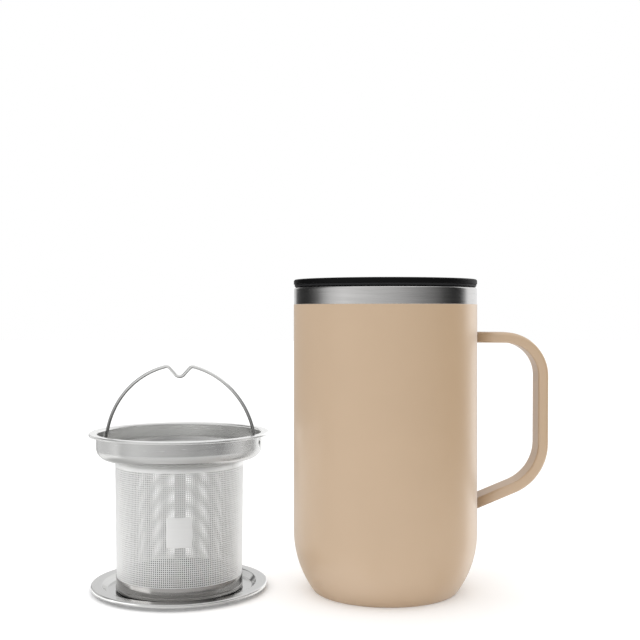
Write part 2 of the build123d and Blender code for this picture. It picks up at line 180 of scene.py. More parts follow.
# %% Sheet
def side_step(line):
    """For each point of a flat line, the direction square to it: its smoothed tangent turned by a quarter."""
    runs = np.diff(line, axis=0)
    runs /= np.linalg.norm(runs, axis=1, keepdims=True)
    tangent = np.concatenate([runs[:1], runs[:-1] + runs[1:], runs[-1:]])
    tangent /= np.linalg.norm(tangent, axis=1, keepdims=True)
    return np.stack([-tangent[:, 1], tangent[:, 0]], 1)


def half_round(end, side, steps=5):
    """The round end of a sheet: end + side cos a + ahead sin a, with a from 0 to 180 degrees.

    side reaches from the sheet's middle to one face, and ahead is side turned a quarter to the right.
    """
    turn = np.linspace(0, np.pi, steps + 2)[1:-1, None]
    ahead = np.array([side[1], -side[0]])
    return end + side * np.cos(turn) + ahead * np.sin(turn)


def sheet(line, thickness):
    """Outline of bent sheet.

    It is the line moved half the thickness to each side, with a half round at each end.
    """
    side = side_step(line) * thickness / 2
    end_cap = half_round(line[-1], side[-1])
    start_cap = half_round(line[0], -side[0])
    return np.concatenate([line + side, end_cap, (line - side)[::-1], start_cap])


print("a straight strip has", len(sheet(np.array([[0.0, 0.0], [5.0, 0.0]]), 1.0)), "points round it")

# %% [markdown]
# ## From grids to meshes
#
# A profile turned about an axis is a grid: one side of it runs along the profile, the other round the axis.
# The corner numbers of all its faces follow from the grid's two sizes, so they are worked out as one array
# instead of face by face. A closed profile makes a ring; a profile that starts and ends on the axis makes a
# disc, whose two poles close when the points that fall together are merged.


# %% Grids
def turned(profile, centre_x, steps):
    """The profile turned about an upright axis: (radius cos a, radius sin a, height) for every angle a."""
    angle = np.linspace(0, 2 * np.pi, steps, endpoint=False)
    radius, height = profile[:, :1], profile[:, 1:]
    return np.stack([centre_x + radius * np.cos(angle), radius * np.sin(angle), height + 0 * angle], -1)


def grid_quads(rows, columns, closed_rows, closed_columns):
    """Corner numbers of a grid's faces.

    A face joins a point to its neighbours in the next column, in the next row and in both.
    """
    row, column = np.meshgrid(
        np.arange(rows if closed_rows else rows - 1),
        np.arange(columns if closed_columns else columns - 1),
        indexing="ij",
    )
    next_row = (row + 1) % rows
    next_column = (column + 1) % columns
    corners = [(row, column), (row, next_column), (next_row, next_column), (next_row, column)]
    return np.stack([r * columns + c for r, c in corners], -1).reshape(-1, 4)


print("an open grid of 4 by 3 points has", len(grid_quads(4, 3, False, False)), "faces")

# %% [markdown]
# ### Arrays into Blender
#
# Blender takes a whole mesh as flat arrays: the points, the corner numbers and where each face starts. That
# is far faster than adding one face after another. Merging is left to bmesh, and so is turning the faces
# outwards, because a grid can't tell its outside from its inside.

# %% Mesh objects
merge_within = 0.0005 * mm


def merge_points(mesh, within, turn_outwards):
    """Merges the points of a mesh that fall together and, where asked, turns its faces outwards."""
    work = bmesh.new()
    work.from_mesh(mesh)
    bmesh.ops.remove_doubles(work, verts=work.verts, dist=within)
    if turn_outwards:
        bmesh.ops.recalc_face_normals(work, faces=work.faces)
    work.to_mesh(mesh)
    work.free()


def mesh_object(name, points, quads, tidy=True):
    """A mesh object from whole arrays, merged and turned outwards where it is to be tidied."""
    mesh = bpy.data.meshes.new(name)
    mesh.vertices.add(len(points))
    mesh.vertices.foreach_set("co", points.astype(np.float32).ravel())
    mesh.loops.add(quads.size)
    mesh.loops.foreach_set("vertex_index", quads.astype(np.int32).ravel())
    mesh.polygons.add(len(quads))
    mesh.polygons.foreach_set("loop_start", np.arange(0, quads.size, 4, dtype=np.int32))
    mesh.update(calc_edges=True)
    if tidy:
        merge_points(mesh, merge_within, True)
    mesh.shade_smooth()
    thing = bpy.data.objects.new(name, mesh)
    bpy.context.scene.collection.objects.link(thing)
    return thing


def ring(name, profile, centre_x=0.0, steps=240):
    """A closed profile turned about an axis."""
    grid = turned(profile, centre_x, steps)
    return mesh_object(name, grid.reshape(-1, 3), grid_quads(*grid.shape[:2], True, True))


def disc(name, profile, centre_x, steps):
    """A profile that starts and ends on the axis, turned about it."""
    grid = turned(profile, centre_x, steps)
    return mesh_object(name, grid.reshape(-1, 3), grid_quads(*grid.shape[:2], False, True))


# %% [markdown]
# ### Copies and finishes
#
# Some pieces have flats, holes and steps that the measured model already holds. They are copied, and get what
# a real mould or press leaves: edges broken by a small round, and flats that shade flat. Every piece then
# gets its finish and the body that it moves with, and the frame pieces that it stands for are hidden.

# %% Copies and finishes
copy_merge_within = 0.001 * mm
sharp_degrees = 32
broken_degrees = 50


def smooth_copy(name, node, edge=0.0):
    """A merged copy of a frame piece with smooth rounds and crisp edges.

    An edge above zero breaks the sharp corners with a small round of that width.
    """
    thing = bpy.data.objects.new(name, frame["nodes"][node].data.copy())
    bpy.context.scene.collection.objects.link(thing)
    thing.data.materials.clear()
    merge_points(thing.data, copy_merge_within, False)
    thing.data.shade_smooth()
    thing.data.set_sharp_from_angle(angle=np.radians(sharp_degrees))
    if edge:
        broken = thing.modifiers.new("broken edges", "BEVEL")
        broken.width = edge
        broken.segments = 2
        broken.limit_method = "ANGLE"
        broken.angle_limit = np.radians(broken_degrees)
    weighted = thing.modifiers.new("even shading", "WEIGHTED_NORMAL")
    weighted.keep_sharp = True
    return thing


def dress(thing, finish, body, slot, *nodes):
    """Gives a piece its finish and its body, and hides the frame pieces that it stands for. Its slot is not
    used.
    """
    thing.data.materials.append(finish)
    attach(thing, body)
    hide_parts(*nodes)
    print(f"{thing.name}: {len(thing.data.polygons)} faces on {body}")


# %% [markdown]
# ## Shader maths as plain expressions
#
# A finish is mostly small numbers that vary over a surface. Blender adds one node for each sum, which is slow
# to read in code. A small class that wraps a socket lets the sums be written as they are thought of, and each
# operator adds its own Math node. The reflected forms are there so that 1 - mask works too.


# %% Values
class Value:
    """A number, colour or vector on its way through a node tree."""

    def __init__(self, nodes, socket):
        self.nodes = nodes
        self.socket = socket

    def math(self, operation, *terms):
        """One Math node on the given terms, in their order."""
        return self.nodes.add("ShaderNodeMath", {"operation": operation}, dict(enumerate(terms)))

    def __add__(self, other):
        return self.math("ADD", self, other)

    def __radd__(self, other):
        return self.math("ADD", other, self)

    def __sub__(self, other):
        return self.math("SUBTRACT", self, other)

    def __rsub__(self, other):
        return self.math("SUBTRACT", other, self)

    def __mul__(self, other):
        return self.math("MULTIPLY", self, other)

    def __rmul__(self, other):
        return self.math("MULTIPLY", other, self)

    def __pow__(self, other):
        return self.math("POWER", self, other)


# %% [markdown]
# ### One call for each node
#
# All other nodes, ramps too, come from one method: the node's type, its settings, and what goes into its
# sockets. The few kinds that every finish uses get a short name of their own on top of it.


# %% Node trees
class Nodes:
    """A node tree that grows by one call for each node."""

    def __init__(self, tree):
        self.tree = tree

    def add(self, kind, settings, inputs, output=0):
        """Any node: its type, its settings or ramp stops, then the values or links of its sockets.

        Gives one of the node's outputs, by number or by name.
        """
        node = self.tree.nodes.new(kind)
        for setting, value in settings.items():
            if setting == "stops":
                set_stops(node.color_ramp.elements, value)
            else:
                setattr(node, setting, value)
        for socket, value in inputs.items():
            if isinstance(value, Value):
                self.tree.links.new(value.socket, node.inputs[socket])
            else:
                node.inputs[socket].default_value = value
        return Value(self, node.outputs[output])

    def split(self, vector):
        """The three numbers of a vector."""
        first = self.add("ShaderNodeSeparateXYZ", {}, {0: vector})
        return [Value(self, socket) for socket in first.socket.node.outputs]

    def mix(self, share, first, second):
        """A colour between two colours, each a link or three numbers.

        A Mix node's colours go into its sockets 6 and 7, and the mixed colour is its output 2.
        """
        colours = [c if isinstance(c, Value) else (*c, 1.0) for c in (first, second)]
        inputs = {0: share, 6: colours[0], 7: colours[1]}
        return self.add("ShaderNodeMix", {"data_type": "RGBA"}, inputs, output=2)

    def step(self, value, low, high):
        """A number that rises smoothly from 0 to 1 while a value goes from low to high."""
        inputs = {0: value, 1: low, 2: high}
        return self.add("ShaderNodeMapRange", {"interpolation_type": "SMOOTHSTEP"}, inputs)

    def noise(self, place, scale=1.0, detail=2.0, roughness=0.5):
        """A cloudy number from 0 to 1 that belongs to a place, with about scale clouds to a unit of it."""
        inputs = {"Vector": place, "Scale": scale, "Detail": detail, "Roughness": roughness}
        return self.add("ShaderNodeTexNoise", {}, inputs)

    def ray(self, kind):
        """1 for a ray of one kind, such as Is Camera Ray, and 0 for every other."""
        return self.add("ShaderNodeLightPath", {}, {}, output=kind)


def set_stops(elements, stops):
    """Gives a ramp its stops, each a place from 0 to 1 and a grey level."""
    while len(elements) < len(stops):
        elements.new(1.0)
    for element, (place, level) in zip(elements, stops):
        element.position = place
        element.color = (level, level, level, 1.0)


# %% [markdown]
# ### A finish
#
# A finish is such a tree with one Principled shader. What is the same all over a piece is set on the shader
# itself, and only what varies comes in through nodes. Places are the piece's own coordinates, so the pattern
# stays on the piece when it moves.


# %% Finishes
class Finish(Nodes):
    """A material with one Principled shader, whose fixed sockets are given as a dictionary."""

    def __init__(self, name, fixed):
        self.material = bpy.data.materials.new(name)
        self.material.use_nodes = True
        super().__init__(self.material.node_tree)
        self.shader = self.tree.nodes["Principled BSDF"]
        for socket, value in fixed.items():
            self.shader.inputs[socket].default_value = value

    def feed(self, socket, value):
        """Links a value to a socket of the shader."""
        self.tree.links.new(value.socket, self.shader.inputs[socket])

    def place(self, centre=(0.0, 0.0, 0.0)):
        """The point on the piece, measured from a centre."""
        shift = [-c for c in centre]
        point = self.add("ShaderNodeTexCoord", {}, {}, output="Object")
        return self.add("ShaderNodeMapping", {}, {"Vector": point, "Location": shift})

    def round_place(self, centre_x=0.0):
        """The point's distance from an upright axis, then its x, y and z measured from that axis."""
        x, y, z = self.split(self.place((centre_x, 0.0, 0.0)))
        return (x * x + y * y) ** 0.5, x, y, z

    def bump(self, height, depth, strength):
        """Turns a height, in shares of a depth in metres, into the direction of the surface."""
        inputs = {"Height": height, "Distance": depth, "Strength": strength}
        self.feed("Normal", self.add("ShaderNodeBump", {}, inputs))


# %% [markdown]
# ## Powder coat
#
# The mug's coat is a beige powder, sprayed dry and baked until it flows. It stays a little uneven, like fine
# orange peel, and it is matte with a soft sheen at a low angle. A texture could be painted, but the grain has
# no drawing in it, so two noises do: a fine one for the peel, and a slow one that changes the colour by a
# hair.

# %% Powder coat
coat = Finish("beige_powder_coat", {"Specular IOR Level": 1.0, "IOR": 1.7})
peel = coat.noise(coat.place(), scale=1500.0, detail=3.0, roughness=0.6)
cloud = coat.noise(coat.place(), scale=60.0)
coat.feed("Base Color", coat.mix(cloud, (0.512, 0.352, 0.208), (0.537, 0.370, 0.220)))
coat.feed("Roughness", 0.30 + 0.12 * peel)
coat.bump(peel, depth=0.03 * mm, strength=0.35)
print("powder coat:", len(coat.tree.nodes), "nodes")

# %% [markdown]
# ## Brushed and spun steel
#
# The band, the tray and the infuser were brushed while they turned, so their scratches are circles round the
# axis. Noise on points that are stretched far along the height and the radius, and hardly at all sideways,
# gives such circles: no angle is needed, so there is no seam. The shader's own anisotropy spreads each
# highlight across the scratches, and the scratches vary its roughness.

# %% Steel
fine_stretch = (90.0, 3600.0)
broad_stretch = (40.0, 900.0)
fine_weight = 0.6
broad_weight = 0.4
roughness_swing = 0.22
scratch_strength = 0.5
blasted_share = 0.5


def spun_steel(name, centre_x, colour, roughness, spread, scratch_depth, streaks, others=(), dull=None):
    """Steel brushed round an upright axis. The scratches are noise on (x, y, height plus radius).

    streaks is how much darker the deepest scratches are. others are pairs of a colour and the function of
    (finish, radius, height) that gives its share, for a piece whose sides differ. dull is such a function
    for a side that was blasted and not brushed, so that it scatters light as well as mirroring it.
    """
    steel = Finish(name, {"Metallic": 1.0, "Anisotropic": spread})
    radius, x, y, z = steel.round_place(centre_x)
    across = radius + z
    fine_place, broad_place = [
        steel.add("ShaderNodeCombineXYZ", {}, {0: x * sideways, 1: y * sideways, 2: across * along})
        for sideways, along in (fine_stretch, broad_stretch)
    ]
    fine = steel.noise(fine_place, roughness=0.6)
    broad = steel.noise(broad_place)
    scratches = fine * fine_weight + broad * broad_weight
    grain = steel.mix(scratches, tuple((1 - streaks) * c for c in colour), colour)
    for other_colour, share in others:
        grain = steel.mix(share(steel, radius, z), grain, other_colour)
    steel.feed("Base Color", grain)
    if dull:
        steel.feed("Metallic", 1.0 - blasted_share * dull(steel, radius, z))
    steel.feed("Roughness", scratches * roughness_swing + (roughness - roughness_swing / 2))
    steel.bump(scratches, scratch_depth, scratch_strength)
    return steel


# %% [markdown]
# ### Sides with a finish of their own
#
# One pressing can carry several finishes. The collar's flange and the inside of its wall are polished, and
# the mug's inside is blasted. The collar's lower bend is painted darker, as painted shade, and the recess
# under the foot's edge is painted near black, as painted shade. Separate materials would need separate faces.
# A side can also be told by its radius and height alone, so each side is a share from 0 to 1 that fades over
# a millimetre or so.

# %% Sides
foot_low, foot_high = heights("foot_ring")
neck_z, flange_z = heights("infuser_collar")
collar_gap = 0.3 * mm
collar_r = mouth_r - collar_gap
flange_polish = (1.6 * mm, 0.8 * mm)
wall_polish = (7.5 * mm, 5.5 * mm)
inner_face = (0.15 * mm, 0.35 * mm)
bend_shade_depths = (6.0 * mm, 9.0 * mm)
blasted_below = (1.0 * mm, 4.0 * mm)
bore_beyond = (0.25 * mm, 0.15 * mm)
recess_high = 0.85 * mm
recess_shade_fade = 0.1 * mm


def between(finish, value, top, depths):
    """A share that rises from 0 to 1 while a value's depth under a top goes from one depth to the other."""
    return finish.step(value, top - depths[0], top - depths[1])


def polished_flange(steel, radius, height):
    """The flange and its turned-down edge: the share rises to 1 just below them."""
    return between(steel, height, flange_z, flange_polish)


def polished_inside(steel, radius, height):
    """The inner side of the collar's wall: above its bend, below its flange and inside its sheet's middle."""
    wall = between(steel, height, flange_z, wall_polish)
    below_flange = between(steel, height, flange_z, flange_polish[::-1])
    return wall * below_flange * between(steel, radius, collar_r, inner_face)


def painted_bend_shade(steel, radius, height):
    """Share of painted shade on the collar's lower bend: 0 on the wall, 1 below it."""
    return between(steel, height, flange_z, bend_shade_depths)


def inside_mug(steel, radius, height):
    """The mug's inside: 1 from a little under the lip's roll and inwards of the wall, 0 outside."""
    bore = steel.step(radius, mouth_r + bore_beyond[0], mouth_r + bore_beyond[1])
    return bore * between(steel, height, rim_z, blasted_below)


def painted_recess_shade(steel, radius, height):
    """Share of painted shade in the recess under the foot's edge: 1 in it and 0 above."""
    recess_z = foot_low + recess_high
    return steel.step(height, recess_z + recess_shade_fade, recess_z - recess_shade_fade)


print(f"collar {2 * collar_r / mm:.1f} mm across, flange at {flange_z / mm:.1f} mm")

# %% Steels
band_steel = spun_steel(
    "brushed_band_steel", 0.0, (0.82, 0.81, 0.80),
    roughness=0.16, spread=0.5, scratch_depth=0.012 * mm, streaks=0.38, dull=inside_mug,
)
infuser_sides = [
    # painted shade: the collar's lower bend is painted darker than its wall
    ((0.54, 0.54, 0.53), painted_bend_shade),
    ((0.78, 0.78, 0.77), polished_flange),
    ((0.96, 0.96, 0.95), polished_inside),
]
infuser_steel = spun_steel(
    "satin_infuser_steel", infuser_x, (0.69, 0.69, 0.68),
    roughness=0.24, spread=0.4, scratch_depth=0.006 * mm, streaks=0.12, others=infuser_sides,
)
tray_steel = spun_steel(
    "turned_tray_steel", infuser_x, (0.74, 0.74, 0.73),
    roughness=0.13, spread=0.3, scratch_depth=0.003 * mm, streaks=0.16,
)
# painted shade: the recess under the foot's edge is painted near black
recess = [((0.02, 0.02, 0.02), painted_recess_shade)]
# painted dark reflection: the foot's steel is darker than the infuser's other steel, for the dark
# surroundings it mirrors
foot_steel = spun_steel(
    "dark_foot_steel", infuser_x, (0.41, 0.40, 0.39),
    roughness=0.13, spread=0.3, scratch_depth=0.004 * mm, streaks=0.2, others=recess,
)
# painted shade: the sieve floor's steel is painted near black, for the shade inside the tube
sieve_steel = spun_steel(
    "sieve_steel", infuser_x, (0.19, 0.19, 0.185),
    roughness=0.40, spread=0.0, scratch_depth=0.003 * mm, streaks=0.1,
)
steels = [band_steel, infuser_steel, tray_steel, foot_steel, sieve_steel]
print("steels:", [steel.material.name for steel in steels])

# %% [markdown]
# ## Wire, plastic, silicone and glass
#
# The bail is drawn and polished wire. Its colour is painted darker near its hinges and lighter towards the
# top, as painted shade on the legs and a painted highlight on the arc. The lid is black plastic from a finely
# blasted mould, so its grain is in the roughness more than in the shape, and its top is painted a shade
# lighter than its edge, as a painted sheen. The gasket's silicone is softer and duller. The bead under the
# mug is a drop of melted solder glass, and the getter is a dull pressed tablet.

# %% Wire
wire = Finish("polished_wire", {"Metallic": 1.0})
wire_height = wire.split(wire.place())[2]
shaded_leg_length = 5 * mm
lit_top_length = 4 * mm
# painted shade and highlight: the wire is painted darker on its legs and lighter towards the top
wire_painted_light = wire.step(wire_height, hinge_z + shaded_leg_length, heights("bail")[1] - lit_top_length)
wire.feed("Base Color", wire.mix(wire_painted_light, (0.34, 0.34, 0.335), (0.82, 0.82, 0.81)))
wire.feed("Roughness", 0.03 + 0.05 * wire.noise(wire.place(), scale=900.0))
print("wire:", len(wire.tree.nodes), "nodes")

# %% Black plastic
lid_edge = (1.2 * mm, 2.2 * mm)


def blasted_plastic(name, edge_black, top_black_painted_sheen):
    """Black plastic with a fine grain, each of its blacks mixed with one that is 70 per cent lighter.

    The edge's black gives way to the top's lighter black, a painted sheen, over one millimetre of radius,
    just inside the lid's rounded edge.
    """
    plastic = Finish(name, {"Specular IOR Level": 0.10})
    grain = plastic.noise(plastic.place(), scale=2600.0)
    radius = plastic.round_place()[0]
    # painted sheen: the lid's top is a lighter black than its edge
    painted_sheen_share = between(plastic, radius, shell_r, lid_edge)
    shades = [
        plastic.mix(grain, (black, black, 1.1 * black), (1.7 * black, 1.7 * black, 1.8 * black))
        for black in (edge_black, top_black_painted_sheen)
    ]
    plastic.feed("Base Color", plastic.mix(painted_sheen_share, *shades))
    plastic.feed("Roughness", 0.40 + 0.14 * grain)
    plastic.bump(grain, depth=0.012 * mm, strength=0.4)
    return plastic


plastic = blasted_plastic("satin_black_plastic", 0.0026, 0.011)
body_plastic = blasted_plastic("satin_black_body_plastic", 0.014, 0.014)
print("blacks:", plastic.material.name, body_plastic.material.name)

# %% Silicone, glass and tablet
silicone = Finish("black_silicone", {"Specular IOR Level": 0.4})
dust = silicone.noise(silicone.place(), scale=400.0, detail=3.0)
silicone.feed("Base Color", silicone.mix(dust, (0.012, 0.012, 0.013), (0.022, 0.022, 0.023)))
silicone.feed("Roughness", 0.55 + 0.2 * dust)

solder_glass = Finish("melted_glass", {"Specular IOR Level": 0.6})
swirl = solder_glass.noise(solder_glass.place(), scale=500.0, detail=3.0)
solder_glass.feed("Base Color", solder_glass.mix(swirl, (0.05, 0.06, 0.055), (0.10, 0.11, 0.10)))
solder_glass.feed("Roughness", 0.08 + 0.1 * swirl)

tablet = Finish("getter_tablet", {"Metallic": 1.0})
pores = tablet.noise(tablet.place(), scale=3000.0, detail=3.0)
tablet.feed("Base Color", tablet.mix(pores, (0.16, 0.16, 0.165), (0.26, 0.26, 0.265)))
tablet.feed("Roughness", 0.5 + 0.3 * pores)
print("materials so far:", len(bpy.data.materials))

# %% [markdown]
# ## The mug's shell
#
# The outer wall is a steel tube, straight to just above the table and then drawn in to the ring that it
# stands on. The curve is one big arc that is tangent to the wall, so its size follows from where it starts
# and where it meets the foot. The coat is sprayed on this wall and on the handle. It stops at a masked edge,
# a hair proud of the bare band above.


# %% Shell's lower curve
shoulder_z = 27.0 * mm
foot_r = 33.0 * mm
shell_wall = 0.75 * mm
foot_width = 3.0 * mm
inset = shell_r - foot_r
curve_r = (inset**2 + shoulder_z**2) / (2 * inset)


def wall_curve(depth, low_z, steps=40):
    """The lower wall moved in by a depth, from the shoulder down to a height.

    It is an arc about the big arc's centre, whose radius is the big one minus the depth.
    """
    radius = curve_r - depth
    end = np.arcsin((shoulder_z - low_z) / radius)
    angle = np.linspace(0, end, steps)
    return np.stack([shell_r - curve_r + radius * np.cos(angle), shoulder_z - radius * np.sin(angle)], 1)


print(f"the big arc's radius is {curve_r / mm:.1f} mm")

# %% Shell
foot_bend = 1.0 * mm
coat_edge = 0.3 * mm
mask_bend = 0.12 * mm
mask_hold = 0.02 * mm
outside = wall_curve(0, foot_bend)
foot_turn = rounded([outside[-1], [foot_r, foot_z], [foot_r - foot_width, foot_z]], [foot_bend])
outside_line = np.concatenate([[[shell_r, band_z - 2 * coat_edge]], outside[:-1], foot_turn])
inside = wall_curve(shell_wall, shell_wall)
foot_inner = [foot_r - foot_width, shell_wall]
wall_top = [shell_r - shell_wall, band_z]
inside_line = np.concatenate([[foot_inner], inside[::-1], [wall_top]])
edge_corners = [wall_top, [shell_r, band_z], outside_line[0]]
edge_line = rounded(edge_corners, [mask_bend], steps=4, hold=mask_hold)[1:-1]
shell = ring("coated_shell", np.concatenate([outside_line, inside_line, edge_line]), steps=288)
dress(shell, coat.material, "mug", "coated_steel", "outer_shell")

# %% [markdown]
# ## Liner, lip and bare band
#
# The inner tube is rolled over at the mouth and comes down outside as the bare band. It is drawn as one
# closed profile: up the bore, over the lip, down the band and back up the hidden side. The mug's other steel
# parts are small pressings that the frame already holds, so they are copied.

# %% Liner
liner_wall = 0.6 * mm
lip_bend = 1.2 * mm
joint_z = heights("liner_bottom")[1]
band_inside = shell_r - shell_wall
inner_bend = lip_bend - liner_wall
tiny = 0.08 * mm
lip_corners = [
    [mouth_r, joint_z],
    [mouth_r, rim_z],
    [band_r, rim_z],
    [band_r, band_z],
    [band_inside, band_z],
    [band_inside, rim_z - liner_wall],
    [mouth_r + liner_wall, rim_z - liner_wall],
    [mouth_r + liner_wall, joint_z],
]
lip_bends = [tiny, lip_bend, lip_bend, tiny, tiny, inner_bend, inner_bend, tiny]
liner = ring("liner_with_band", rounded_loop(lip_corners, lip_bends), steps=288)
dress(liner, band_steel.material, "mug", "brushed_steel", "inner_liner")
print(f"the coat stands {(shell_r - band_r) / mm:.2f} mm proud of the band")

# %% Bottoms, tablet and bead
for name, node, finish, slot in [
    ("liner_bottom_cup", "liner_bottom", band_steel, "brushed_steel"),
    ("outer_bottom_disc", "outer_bottom", band_steel, "brushed_steel"),
    ("getter_tablet", "getter", tablet, "getter_metal"),
    ("evacuation_bead", "evacuation_seal", solder_glass, "sealing_glass"),
]:
    dress(smooth_copy(name, node), finish.material, "mug", slot, node)

# %% [markdown]
# ## The strap handle
#
# The handle is a flat strap with soft edges, bent twice and welded on before the coat was sprayed. Its
# section is a rounded rectangle, carried along a line that bends at two corners. At each end the strap is cut
# to the round of the wall, so the last rows of the grid are pushed along the strap until they meet the wall.


# %% Carrying a section along a line
def carried(line, section):
    """A section carried along a line in the X-Z plane.

    Each point is the line's point, plus the section's second value along the side direction, and the
    section's first value is its place across, in Y.
    """
    side = side_step(line)
    flat = line[:, None, :] + section[None, :, 1:] * side[:, None, :]
    across = np.broadcast_to(section[None, :, 0], flat.shape[:2])
    return np.stack([flat[..., 0], across, flat[..., 1]], -1)


# %% Strap
handle_low, handle_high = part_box("handle")
strap_thick = 4.8 * mm
strap_wide = handle_high.y - handle_low.y
grip_x = handle_high.x - strap_thick / 2
top_z = handle_high.z - strap_thick / 2
arm_fall = 0.2 * mm
grip_lean = 0.3 * mm
low_corner_z = 52.5 * mm
low_foot_z = 40.1 * mm
arm_slope = (low_corner_z - low_foot_z) / (grip_x - grip_lean - shell_r)
buried = 0.25 * mm
upper_bend = 17.5 * mm
lower_bend = 22.0 * mm
strap_line = rounded(
    [
        [shell_r - buried, top_z],
        [grip_x, top_z - arm_fall],
        [grip_x - grip_lean, low_corner_z],
        [shell_r - buried, low_foot_z - buried * arm_slope],
    ],
    [upper_bend, lower_bend],
    steps=28,
)
half_wide, half_thick = strap_wide / 2, strap_thick / 2
outer_round = 1.9 * mm
inner_round = 1.1 * mm
strap_section = rounded_loop(
    [[-half_wide, half_thick], [half_wide, half_thick], [half_wide, -half_thick], [-half_wide, -half_thick]],
    [outer_round, outer_round, inner_round, inner_round],
)
strap = carried(strap_line, strap_section)
print("strap:", strap.shape[0], "stations of", strap.shape[1], "points")


# %% Strap's ends
def meet_wall(row, along):
    """Slides a row of points along the strap until its distance from the mug's axis is the wall's radius."""
    wall_x = np.sqrt((shell_r - buried) ** 2 - row[:, 1] ** 2)
    return row + (wall_x - row[:, 0])[:, None] * along / along[0]


strap[0] = meet_wall(strap[0], np.array([1.0, 0.0, 0.0]))
strap[-1] = meet_wall(strap[-1], np.array([1.0, 0.0, arm_slope]))
rows, columns = strap.shape[:2]
middles = strap[[0, -1]].mean(axis=1, keepdims=True)
ends = np.broadcast_to(middles, (2, columns, 3))
strap = np.concatenate([ends[:1], strap, ends[1:]])
handle = mesh_object("strap_handle", strap.reshape(-1, 3), grid_quads(rows + 2, columns, False, True))
dress(handle, coat.material, "mug", "coated_steel", "handle")

# %% [markdown]
# ## The lid
#
# The lid is four mouldings, a gasket and a pad. Only its edge shows while it sits on the mug, as two layers
# with a fine line between them, but it lifts off, so every side of it counts. Its flat parts carry holes and
# a track, which a turned profile can't have, so the measured pieces are used as they are: merged, with broken
# edges and smooth rounds.

# %% Lid
broad_edge = 0.25 * mm
fine_edge = 0.14 * mm
for name, node, finish, body, slot, edge in [
    ("lid_body_moulding", "lid_body", body_plastic, "lid", "black_plastic", broad_edge),
    ("lid_cover_moulding", "lid_cover", plastic, "lid", "black_plastic", broad_edge),
    ("gasket_ring", "lid_gasket", silicone, "lid", "black_silicone", fine_edge),
    ("slider_shutter", "slider", plastic, "slider", "black_plastic", fine_edge),
    ("slider_pad", "slider_seal", silicone, "slider", "black_silicone", fine_edge),
    ("slider_washer", "slider_clip", plastic, "slider", "black_plastic", fine_edge),
]:
    dress(smooth_copy(name, node, edge), finish.material, body, slot, node)

# %% [markdown]
# ## The infuser's collar
#
# The collar is one pressing: an edge turned down, a flat flange, a wall that drops into the mug's mouth, a
# wide bend, a ledge and a short neck inside the strainer. It is sheet, so its profile is a single line given
# its thickness, and the line's corners carry the bends.

# %% Collar
collar_sheet = 0.5 * mm
half_sheet = collar_sheet / 2
neck_inside, flange_r = radii("infuser_collar", infuser_x)
edge_drop = 0.9 * mm
ledge_z = flange_z - 11.7 * mm
edge_mid = flange_r - half_sheet
wall_mid = collar_r - half_sheet
neck_mid = neck_inside + half_sheet
flange_mid = flange_z - half_sheet
ledge_mid = ledge_z + half_sheet
edge_bend = 0.45 * mm
mouth_bend = 0.8 * mm
deep_bend = 4.75 * mm
neck_bend = 0.5 * mm
collar_line = rounded(
    [
        [edge_mid, flange_z - edge_drop],
        [edge_mid, flange_mid],
        [wall_mid, flange_mid],
        [wall_mid, ledge_mid],
        [neck_mid, ledge_mid],
        [neck_mid, neck_z],
    ],
    [edge_bend, mouth_bend, deep_bend, neck_bend],
    steps=12,
)
collar = ring("infuser_collar_pressing", sheet(collar_line, collar_sheet), infuser_x, steps=288)
print("collar line:", len(collar_line), "points")

# %% [markdown]
# ### The two hinge holes
#
# The wire turns in two drilled holes. A grid round an axis can't have a hole in its wall, so a thin rod
# along the hinge line is cut from the finished ring, and the result is kept as the mesh. The rod is a grid
# too: a point, a circle, a circle and a point, which close it at both ends.

# %% Hinge holes
hinge_along = unit(np.array(hinge["axis"], float))
hinge_side = np.array([-hinge_along[1], hinge_along[0], 0.0])
hinge_centre = np.array([infuser_x, 0.0, hinge_z])
hinge_hole_r = 1.2 * mm
rod_half = 45.0 * mm
rod_sides = 40
turn = np.linspace(0, 2 * np.pi, rod_sides, endpoint=False)[:, None]
rod_ring = hinge_hole_r * (np.cos(turn) * hinge_side + np.sin(turn) * np.array([0.0, 0.0, 1.0]))
rod_ends = np.array([-1.0, -1.0, 1.0, 1.0])[:, None, None] * rod_half * hinge_along
rod_swell = np.array([0.0, 1.0, 1.0, 0.0])[:, None, None]
rod_points = hinge_centre + rod_ends + rod_swell * rod_ring
rod = mesh_object("hinge_rod", rod_points.reshape(-1, 3), grid_quads(4, rod_sides, False, True))
cut = collar.modifiers.new("hinge holes", "BOOLEAN")
cut.object = rod
cut.operation = "DIFFERENCE"
cut.solver = "EXACT"
bpy.context.view_layer.update()
cut_mesh = bpy.data.meshes.new_from_object(collar.evaluated_get(bpy.context.evaluated_depsgraph_get()))
collar.modifiers.clear()
collar.data = cut_mesh
bpy.data.objects.remove(rod)
dress(collar, infuser_steel.material, "infuser", "satin_steel", "infuser_collar")

# %% [markdown]
# ## Perforated sheet
#
# The strainer is sheet with a fine square grid of round holes, punched flat and rolled into a tube. Holes
# drawn in the material alone would look flat at the tube's sides, where you see through two walls at once, so
# the holes are real. Each cell of the grid is a square with an eight-sided hole: eight faces outside, eight
# inside and eight through the hole. All cells are worked out together, from arrays of corner numbers.


